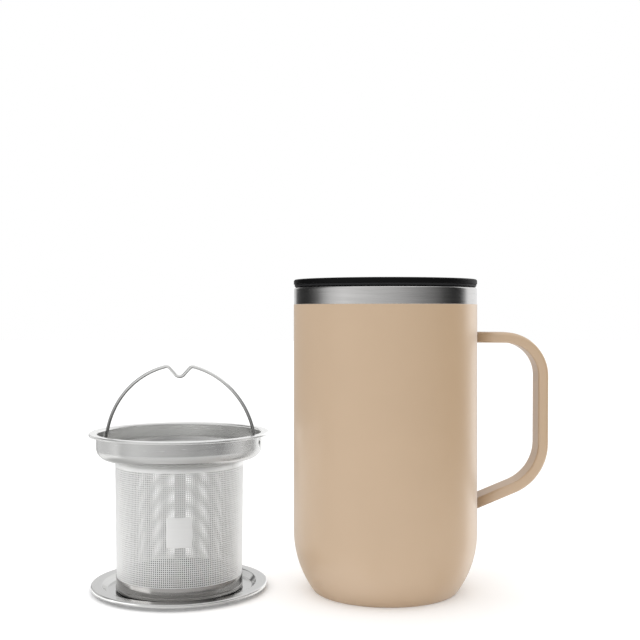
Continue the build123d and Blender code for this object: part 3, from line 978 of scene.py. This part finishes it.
# %% A sheet of cells
def perforated(name, place, kept, pierced, hole):
    """Sheet made of square cells, some of them pierced.

    The corners and the middles of the cells' sides lie on a lattice of half cells. Cell (r, c) is ringed by
    eight of its points, anticlockwise from its low corner. A hole's eight points are the cell's middle plus
    the hole's half width times the cosine and sine of the same eight directions.
    place(column, row, side) gives points for lattice coordinates, with side 0 outside and side 1 inside.
    """
    cell_r, cell_c = np.nonzero(kept)
    ring_r = np.array([0, 0, 0, 1, 2, 2, 2, 1])
    ring_c = np.array([0, 1, 2, 2, 2, 1, 0, 0])
    lattice_r = 2 * cell_r[:, None] + ring_r
    lattice_c = 2 * cell_c[:, None] + ring_c
    width = 2 * kept.shape[1] + 1
    used, border = np.unique(lattice_r * width + lattice_c, return_inverse=True)
    border = border.reshape(-1, 8)
    rim_points = [place((used % width) / 2, (used // width) / 2, side) for side in (0, 1)]

    open_cells = pierced[cell_r, cell_c]
    angle = np.radians(-135 + 45 * np.arange(8))
    hole_c = cell_c[open_cells][:, None] + 0.5 + hole * np.cos(angle)
    hole_r = cell_r[open_cells][:, None] + 0.5 + hole * np.sin(angle)
    hole_points = [place(hole_c.ravel(), hole_r.ravel(), side) for side in (0, 1)]
    points = np.concatenate(rim_points + hole_points)
    outer, inner = border, border + len(used)
    hole_outer = 2 * len(used) + np.arange(hole_c.size).reshape(-1, 8)
    hole_inner = hole_outer + hole_c.size

    def band(first, second):
        """Faces between two rings of eight: each ring's point and its next one."""
        quads = [first, np.roll(first, -1, 1), np.roll(second, -1, 1), second]
        return np.stack(quads, -1).reshape(-1, 4)

    plain = np.array([[0, 1, 2, 3], [0, 3, 4, 5], [0, 5, 6, 7]])
    faces = [
        band(outer[open_cells], hole_outer),
        band(hole_inner, inner[open_cells]),
        band(hole_outer, hole_inner),
        outer[~open_cells][:, plain].reshape(-1, 4),
        inner[~open_cells][:, plain[:, ::-1]].reshape(-1, 4),
    ]
    # A side without a neighbour is closed by two faces between the sheet's outer and inner border.
    padded = np.pad(kept, 1)
    beside = [(0, 1, 0), (1, 2, 2), (2, 1, 4), (1, 0, 6)]
    for down, right, start in beside:
        bare = ~padded[cell_r + down, cell_c + right]
        for k in (start, start + 1):
            after = (k + 1) % 8
            wall = [outer[bare, after], outer[bare, k], inner[bare, k], inner[bare, after]]
            faces.append(np.stack(wall, -1))
    return mesh_object(name, points, np.concatenate(faces), tidy=False)


# %% [markdown]
# ### The strainer's tube
#
# The tube tapers a little towards the foot. Its holes leave three plain fields: a band under the collar, a
# strip where the sheet overlaps, and a small plain patch at the front. The tube is made as three panels, a
# third of a turn each, so that no single mesh grows too heavy. Its inner side is painted a shade darker, as
# painted shade inside the tube, and the holes read against it.

# %% Strainer's sizes
strainer_sheet = 0.35 * mm
tube_low, tube_high = heights("strainer_wall")
tube_top_r = radii("strainer_wall", infuser_x)[1]
tube_foot_r = radius_at("strainer_wall", tube_low, infuser_x)
taper = (tube_top_r - tube_foot_r) / (tube_high - tube_low)
pitch = 0.925 * mm
hole_share = 0.345
row_gap = 0.2 * mm
hole_rows = 54
panels = 3
panel_columns = 66
step_angle = 2 * np.pi / (panels * panel_columns)
hole_row_z = foot_high + row_gap + pitch * np.arange(hole_rows + 1)
row_z = np.concatenate([[tube_low], hole_row_z, [tube_high]])
print(f"plain band under the collar: {(tube_high - row_z[-2]) / mm:.2f} mm")


# %% Strainer's steel
def shaded_inner_side(steel, radius, height):
    """Share of the sheet's inner side, which is painted darker as painted shade.

    radius minus height times taper is the same all along one side of the sheet. The share rises from 0 at
    the outer side's value of it to 1 at the inner side's, which is a thickness less.
    """
    outer_side = tube_foot_r - tube_low * taper
    return between(steel, radius - height * taper, outer_side, (0.0, strainer_sheet))


# painted shade: the sheet's inner side is painted darker than its outer side
painted_inner_shade = [((0.70, 0.70, 0.69), shaded_inner_side)]
sheet_steel = spun_steel(
    "punched_sheet_steel", infuser_x, (0.97, 0.97, 0.96),
    roughness=0.45, spread=0.0, scratch_depth=0.003 * mm, streaks=0.10, others=painted_inner_shade,
)
print("strainer's steel:", len(sheet_steel.tree.nodes), "nodes")

# %% Strainer's panels
front = np.radians(-90)
patch_wide = 11.5 * mm
patch_tall = 13.5 * mm
patch_z = 31.3 * mm
patch_turn = np.radians(7.6)
seam_wide = 4.7 * mm
seam_turn = np.radians(97.4)


def tube_place(start_angle):
    """Points of the tube for (column, row, side): an angle, a height and the tapered radius there."""

    def place(column, row, side):
        angle = start_angle + column * step_angle
        z = np.interp(row, np.arange(len(row_z)), row_z)
        share = (z - tube_low) / (tube_high - tube_low)
        radius = tube_foot_r + share * (tube_top_r - tube_foot_r) - side * strainer_sheet
        return np.stack([infuser_x + radius * np.cos(angle), radius * np.sin(angle), z], -1)

    return place


def arc_between(first, second):
    """Length round the tube from one angle to another, the short way."""
    return np.abs(np.angle(np.exp(1j * (first - second)))) * tube_top_r


for panel in range(panels):
    start = front - np.pi / panels + panel * panel_columns * step_angle
    row, column = np.meshgrid(np.arange(len(row_z) - 1), np.arange(panel_columns), indexing="ij")
    angle = start + (column + 0.5) * step_angle
    middle_z = (row_z[row] + row_z[row + 1]) / 2
    beside_patch = arc_between(angle, front + patch_turn) >= patch_wide / 2
    off_patch = beside_patch | (np.abs(middle_z - patch_z) >= patch_tall / 2)
    off_seam = arc_between(angle, seam_turn) > seam_wide / 2
    holes = (row > 0) & (row < len(row_z) - 2) & off_patch & off_seam
    all_cells = np.ones_like(holes)
    tube = perforated(f"strainer_panel_{panel + 1}", tube_place(start), all_cells, holes, hole_share)
    dress(tube, sheet_steel.material, "infuser", "satin_steel", "strainer_wall")

# %% [markdown]
# ### Floor and seam
#
# The floor is the same sheet, cut round. Its cells stop in steps, so a thin plain ring covers the steps. The
# seam is a narrow strip over the tube's overlap, which the frame already holds.

# %% Floor and seam
floor_low, floor_high = heights("strainer_floor")
floor_r = radii("strainer_floor", infuser_x)[1]
floor_cells = int(2 * floor_r / pitch) + 1
skin = 0.02 * mm
plain_edge = 1.9 * mm
rim_wide = 1.6 * mm
cells_short = 1.0 * mm
rim_bend = 0.08 * mm


def floor_place(column, row, side):
    """Points of the floor: a square lattice centred on the axis, with side 0 as its upper face."""
    x = infuser_x + (column - floor_cells / 2) * pitch
    y = (row - floor_cells / 2) * pitch
    z = floor_low + skin if side else floor_high - skin
    return np.stack([x, y, np.full_like(x, z)], -1)


row, column = np.meshgrid(np.arange(floor_cells), np.arange(floor_cells), indexing="ij")
cell_reach = np.hypot(row + 0.5 - floor_cells / 2, column + 0.5 - floor_cells / 2) * pitch
kept = cell_reach < floor_r - cells_short
pierced = cell_reach < floor_r - plain_edge
sieve = perforated("sieve_floor", floor_place, kept, pierced, hole_share)
dress(sieve, sieve_steel.material, "infuser", "satin_steel", "strainer_floor")
rim_in = floor_r - rim_wide
rim_corners = [[rim_in, floor_low], [floor_r, floor_low], [floor_r, floor_high], [rim_in, floor_high]]
sieve_rim = ring("sieve_rim", rounded_loop(rim_corners, [rim_bend] * 4, 3), infuser_x, steps=192)
dress(sieve_rim, sieve_steel.material, "infuser", "satin_steel", "strainer_floor")
seam = smooth_copy("overlap_seam", "strainer_seam")
dress(seam, sheet_steel.material, "infuser", "satin_steel", "strainer_seam")

# %% [markdown]
# ### Foot
#
# The foot is a thicker ring that clasps the tube. It has one fine groove, a slight waist above its edge and
# a recess under that edge, which is painted near black as painted shade and parts it from the tray by a dark
# line. Every corner of its profile is written beside its own bend.

# %% Foot
foot_inside = radii("foot_ring", infuser_x)[0]
foot_sheet = 0.45 * mm
lean = 0.05 * mm
wall_out = radius_at("foot_ring", foot_high, infuser_x) - lean
wall_in = wall_out - foot_sheet
recess_in = wall_out - 1.0 * mm
recess_z = foot_low + recess_high
waist = wall_out - 0.08 * mm
top_lean = 0.15 * mm
groove_z = foot_low + 2.1 * mm
groove_deep = 0.18 * mm
soft = 0.15 * mm
crisp = 0.10 * mm
lip = 0.06 * mm
fine_bend = 0.04 * mm
foot_outline = [
    ([foot_inside, foot_low], soft),
    ([recess_in, foot_low], crisp),
    ([recess_in, recess_z - lean], crisp),
    ([wall_out, recess_z], soft),
    ([waist, groove_z - groove_deep], fine_bend),
    ([waist - groove_deep, groove_z], fine_bend),
    ([waist, groove_z + groove_deep], crisp),
    ([waist - top_lean, foot_high], lip),
    ([wall_in + lean, foot_high], lip),
    ([wall_in, foot_low + foot_sheet], crisp),
    ([foot_inside, foot_low + foot_sheet], soft),
]
foot_corners, foot_bends = zip(*foot_outline)
foot_clasp = ring("foot_clasp", rounded_loop(foot_corners, foot_bends, 5), infuser_x)
dress(foot_clasp, foot_steel.material, "infuser", "satin_steel", "foot_ring")

# %% [markdown]
# ## The bail
#
# The bail is one piece of wire: out through each hole, up in a wide arc, and down into a V in the middle
# that a finger or a spoon catches. A curve object with a bevel would do, but carrying a circle along the same
# kind of line as the handle keeps one method for both. The line is drawn flat and then stood up along the
# hinge.

# %% Bail's line
wire_r = 0.75 * mm
pin_proud = 0.2 * mm
leg_gap = 1.1 * mm
pin_end = collar_r + pin_proud
leg_foot = collar_r - collar_sheet - leg_gap
leg_rise = 5.9 * mm
leg_lean = np.radians(13.5)
pin_bend = 1.2 * mm
arc_r = 38.3 * mm
arc_short = 0.05
notch_half = 5.7 * mm
notch_deep = 6.1 * mm
peak_bend = 1.8 * mm
notch_bend = 2.8 * mm
leg_top = np.array([leg_foot - leg_rise * np.tan(leg_lean), leg_rise])
arc_centre = leg_top - arc_r * np.array([np.cos(leg_lean), np.sin(leg_lean)])


def on_arc(angle):
    """Points of one side's arc, its centre plus its radius times (cos a, sin a), tangent to the leg."""
    return arc_centre + arc_r * np.stack([np.cos(angle), np.sin(angle)], -1)


peak_angle = np.arccos((notch_half - arc_centre[0]) / arc_r)
peak = on_arc(peak_angle)
arc = on_arc(np.linspace(leg_lean, peak_angle - arc_short, 60))
pin = rounded([[pin_end, 0.0], [leg_foot, 0.0], leg_top], [pin_bend], 10)
notch_foot = peak * [0.0, 1.0] - [0.0, notch_deep]
flip = np.array([-1.0, 1.0])
notch_corners = [arc[-1], peak, notch_foot, peak * flip, arc[-1] * flip]
notch = rounded(notch_corners, [peak_bend, notch_bend, peak_bend], 12)
half_line = np.concatenate([pin[:-1], arc[:-1]])
bail_line = np.concatenate([half_line, notch, (half_line * flip)[::-1]])
print("bail line:", len(bail_line), "points")

# %% [markdown]
# ### The wire round that line
#
# A circle carried along the line is the wire. Each end is a cut one: a slightly smaller circle just beyond it
# makes the file's chamfer, and a point closes it. Three directions then stand the flat shape up: its first
# axis goes along the hinge, its second across it and its third upwards.

# %% Bail's wire
wire_sides = 20
tip_out = 0.12 * mm
tip_share = 0.82
middle_share = 0.18
turn = np.linspace(0, 2 * np.pi, wire_sides, endpoint=False)
tube = carried(bail_line, wire_r * np.stack([np.cos(turn), np.sin(turn)], 1))
middles = tube[[0, -1]].mean(axis=1, keepdims=True)
out = np.array([tip_out, 0.0, 0.0]) * np.array([1.0, -1.0])[:, None, None]
chamfers = tip_share * tube[[0, -1]] + middle_share * middles + out
tips = np.broadcast_to(middles + out, chamfers.shape)
tube = np.concatenate([tips[:1], chamfers[:1], tube, chamfers[1:], tips[1:]])
upright = np.stack([hinge_along, hinge_side, [0.0, 0.0, 1.0]])
tube = hinge_centre + tube @ upright
bail = mesh_object("wire_bail", tube.reshape(-1, 3), grid_quads(*tube.shape[:2], False, True))
dress(bail, wire.material, "bail", "polished_wire", "bail")

# %% [markdown]
# ## The tray
#
# The tray is spun from one disc: a turned-down edge, a flat rim, a leaning wall and a flat well that the
# infuser stands in. Its line runs in to the axis, so the profile ends there and the middle closes in a pole.

# %% Tray
tray_sheet = 0.6 * mm
tray_z = heights("tray")[1]
tray_r = radii("tray", infuser_x)[1]
well_r = 35.4 * mm
well_floor_r = 33.2 * mm
tray_drop = 0.9 * mm
tray_edge_bend = 0.35 * mm
well_bend = 0.7 * mm
rim_mid = tray_z - tray_sheet / 2
tray_line = rounded(
    [
        [tray_r - tray_sheet / 2, rim_mid - tray_drop],
        [tray_r - tray_sheet / 2, rim_mid],
        [well_r, rim_mid],
        [well_floor_r, tray_sheet / 2],
        [0.0, tray_sheet / 2],
    ],
    [tray_edge_bend, well_bend, well_bend],
    steps=10,
)
tray_side = side_step(tray_line) * tray_sheet / 2
rim_cap = half_round(tray_line[0], -tray_side[0])[::-1]
tray_profile = np.concatenate([(tray_line + tray_side)[::-1], rim_cap, tray_line - tray_side])
tray_profile[[0, -1], 0] = 0.0
tray = disc("drip_tray", tray_profile, infuser_x, steps=288)
dress(tray, tray_steel.material, "tray", "satin_steel", "tray")

# %% [markdown]
# ## Stage
#
# The set is a white sweep. A pale floor lit until it burns out would throw its light back on the steel, so
# the floor stays a plain pale grey to the light, and for the eye alone a little glow lifts it to white. It
# keeps the soft shadow. To mirrors it is two fifths clear near the set and fully clear far out, so that low
# steel shows some of the room and not a bright table alone.

# %% Floor
floor_size = 8.0
eye_glow = 0.09
near_clear = 0.4
far_from = 0.22
far_to = 0.45
corner = np.array([[-1, -1, 0], [1, -1, 0], [1, 1, 0], [-1, 1, 0]]) * floor_size / 2
floor = mesh_object("studio_floor", corner, np.array([[0, 1, 2, 3]]), tidy=False)
matte_grey = {"Base Color": (0.96, 0.96, 0.96, 1.0), "Roughness": 0.9, "Specular IOR Level": 0.1}
pale = Finish("pale_floor", matte_grey)
eye = pale.ray("Is Camera Ray")
mirror = pale.ray("Is Glossy Ray")
glow = pale.add("ShaderNodeEmission", {}, {"Strength": eye * eye_glow})
lit = pale.add("ShaderNodeAddShader", {}, {0: Value(pale, pale.shader.outputs[0]), 1: glow})
far = pale.step(pale.round_place()[0], far_from, far_to)
clear = pale.add("ShaderNodeBsdfTransparent", {}, {})
clearness = mirror * (near_clear + (1 - near_clear) * far)
seen = pale.add("ShaderNodeMixShader", {}, {0: clearness, 1: lit, 2: clear})
pale.tree.links.new(seen.socket, pale.tree.nodes["Material Output"].inputs["Surface"])
floor.data.materials.append(pale.material)
print("floor:", floor_size, "m square")

# %% [markdown]
# ## Light
#
# Steel has no colour of its own to show: it shows the room. So the room is planned like a lighting plan, as a
# list of headings and levels that a mirror sees. Heading 0 is the front, and a plus goes to the right. In
# front it is a broad white that is strongest left of the middle and fades to the right. Black cloth hangs at
# the left and at the right, and behind the set it is white again, which draws a line of light down each edge.
# What lights matte surfaces is one smooth sky, the same in every heading and brighter overhead, so that
# their colours come out as they were mixed.

# %% Surroundings
room_plan = [
    (-180, 0.80),
    (-158, 0.78),
    (-149, 0.12),
    (-135, 0.05),
    (-118, 0.03),
    (-106, 0.07),
    (-95, 0.17),
    (-84, 0.48),
    (-74, 0.69),
    (-56, 0.85),
    (-30, 0.70),
    (0, 0.57),
    (15, 0.49),
    (30, 0.38),
    (46, 0.27),
    (62, 0.17),
    (75, 0.07),
    (90, 0.03),
    (103, 0.04),
    (112, 0.30),
    (120, 1.02),
    (140, 1.02),
    (156, 1.00),
    (180, 0.80),
]
even_level = 1.22
side_sky = (0.72 * even_level,) * 3
top_sky = (1.12 * even_level,) * 3
ceiling = (0.95,) * 3
ceiling_from = 0.55
ceiling_to = 0.90
world = bpy.data.worlds.new("room")
world.use_nodes = True
bpy.context.scene.world = world
room = Nodes(world.node_tree)
x, y, z = room.split(room.add("ShaderNodeTexCoord", {}, {}, output="Generated"))
heading = x.math("ARCTAN2", x, -1.0 * y) * (0.5 / np.pi) + 0.5
stops = [(degrees / 360 + 0.5, level) for degrees, level in room_plan]
walls = room.add("ShaderNodeValToRGB", {"stops": stops}, {0: heading})
mirrored = room.mix(room.step(z, ceiling_from, ceiling_to), walls, ceiling)
glossy = room.ray("Is Glossy Ray")
eye = room.ray("Is Camera Ray")
open_sky = room.mix(z.math("MAXIMUM", z, 0.0), side_sky, top_sky)
level = room.mix(glossy, open_sky, mirrored)
level = room.mix(eye, level, (1.0, 1.0, 1.0))
room.tree.links.new(level.socket, room.tree.nodes["Background"].inputs["Color"])
world.cycles.sampling_method = "NONE"
print("surroundings:", len(stops), "stops")

# %% [markdown]
# ### Boxes for single pieces
#
# The black cloth that gives the mug's band its contrast would make dark stripes on the infuser, which wants
# a plain even grey, and would leave the coat's sheen patchy. Light linking solves it as a second take would:
# each soft box lights its own pieces only, and only they can shade each other from it. Four fill the
# infuser's dark headings, two of them from the gap beside the mug, one lights its foot, and four the coat.
# The two low ones among these stand for the light that a lit table throws up. The boxes are seen as shine
# alone, so they leave the matte colours as the sky lights them.


# %% Soft boxes
def soft_box(name, target, heading_degrees, distance, size, level, only_for, rise_degrees):
    """A lamp that faces a target from a heading, as bright as a card at that level, for some pieces only.

    It stands off along (cos rise sin heading, minus cos rise cos heading, sin rise). A lamp that glows
    evenly at a level gives out level times pi times its area.
    """
    lamp = bpy.data.lights.new(name, "AREA")
    lamp.shape = "RECTANGLE"
    lamp.size, lamp.size_y = size
    lamp.energy = level * np.pi * size[0] * size[1]
    box = bpy.data.objects.new(name, lamp)
    bpy.context.scene.collection.objects.link(box)
    turn, rise = np.radians([heading_degrees, rise_degrees])
    away = Vector((np.cos(rise) * np.sin(turn), -np.cos(rise) * np.cos(turn), np.sin(rise)))
    box.location = Vector(target) + away * distance
    box.rotation_euler = away.to_track_quat("Z", "Y").to_euler()
    box.visible_camera = False
    box.visible_diffuse = False
    group = bpy.data.collections.new(name + "_pieces")
    for piece in only_for:
        group.objects.link(piece)
    box.light_linking.receiver_collection = group
    box.light_linking.blocker_collection = group


# %% Boxes in their places
set_bodies = ["body:tray", "body:infuser", "body:bail"]
infuser_set = [piece for piece in bpy.data.objects if piece.parent and piece.parent.name in set_bodies]
infuser_set.remove(bail)
above_foot = [piece for piece in infuser_set if piece.name != "foot_clasp"]
foot_set = [piece for piece in infuser_set if piece.name in ("foot_clasp", "drip_tray")]
coated = [shell, handle]
boxes = [
    # name, target, heading, distance, size, level, pieces, rise
    ("left_fill", (infuser_x, 0.0, 0.06), -114, 0.8, (1.0, 0.9), 0.72, infuser_set, 0),
    ("left_fill_coat", (0.0, 0.0, 0.06), -118, 0.8, (1.0, 0.9), 0.5, coated, 0),
    ("low_left_fill_coat", (0.0, 0.0, 0.01), -75, 0.5, (0.7, 0.4), 0.40, coated, -50),
    ("low_right_fill_coat", (0.0, 0.0, 0.01), 30, 0.5, (0.6, 0.4), 0.25, coated, -55),
    ("right_edge_coat", (0.0, 0.0, 0.07), 130, 0.8, (0.45, 0.9), 0.75, coated, 0),
    ("back_fill", (infuser_x, 0.0, 0.30), 180, 0.9, (2.0, 0.5), 0.30, [collar], 0),
    ("right_fill_wide", (infuser_x, -0.0075, 0.06), 90, 0.047, (0.135, 0.13), 0.09, above_foot, 0),
    ("right_fill_near", (infuser_x, 0.011, 0.06), 90, 0.047, (0.098, 0.13), 0.22, above_foot, 0),
    ("foot_light", (infuser_x, 0.0, 0.06), -66, 0.5, (0.40, 0.3), 1.3, foot_set, 0),
]
for box in boxes:
    soft_box(*box)
print("soft boxes:", len(boxes))

# %% [markdown]
# ### What shadows and mirrors leave out
#
# The infuser would throw a soft grey pool far wider than its tray, so only the tray counts for matte light,
# and the table stays clean. The coat is kept out of mirror images, or it would tint the steel beside it.

# %% Shadows and mirrors
for piece in infuser_set + [bail]:
    piece.visible_diffuse = piece.name == "drip_tray"
for piece in coated:
    piece.visible_glossy = False
print("kept out of mirror images:", [piece.name for piece in coated])

# %% [markdown]
# ## Camera
#
# The camera looks level, so upright lines stay upright. Its height and distance set how open the round mouths
# and rims appear: it stands well above the collar's rim and just below the lid. It is set by pixels: how many
# there are to a metre at the mug, how far off the camera stands in them, the mug's column, the table's row
# and the row of the horizon.

# %% Camera
picture = 640
scale_px = 2170.0
distance_px = 1030.0
mug_px = 385.0
base_px = 587.4
horizon_px = 312.0
sensor = 36.0
lens = bpy.data.cameras.new("camera")
lens.sensor_width = sensor
lens.lens = distance_px / picture * sensor
lens.shift_y = (horizon_px - picture / 2) / picture
lens.clip_start = 0.01
camera = bpy.data.objects.new("camera", lens)
bpy.context.scene.collection.objects.link(camera)
across_px = picture / 2 - mug_px
camera.location = (across_px / scale_px, -distance_px / scale_px, (base_px - horizon_px) / scale_px)
camera.rotation_euler = (np.pi / 2, 0.0, 0.0)
bpy.context.scene.camera = camera
bpy.context.scene.view_settings.view_transform = "Standard"
print("camera at", [round(float(v), 4) for v in camera.location], "lens", round(lens.lens, 2))
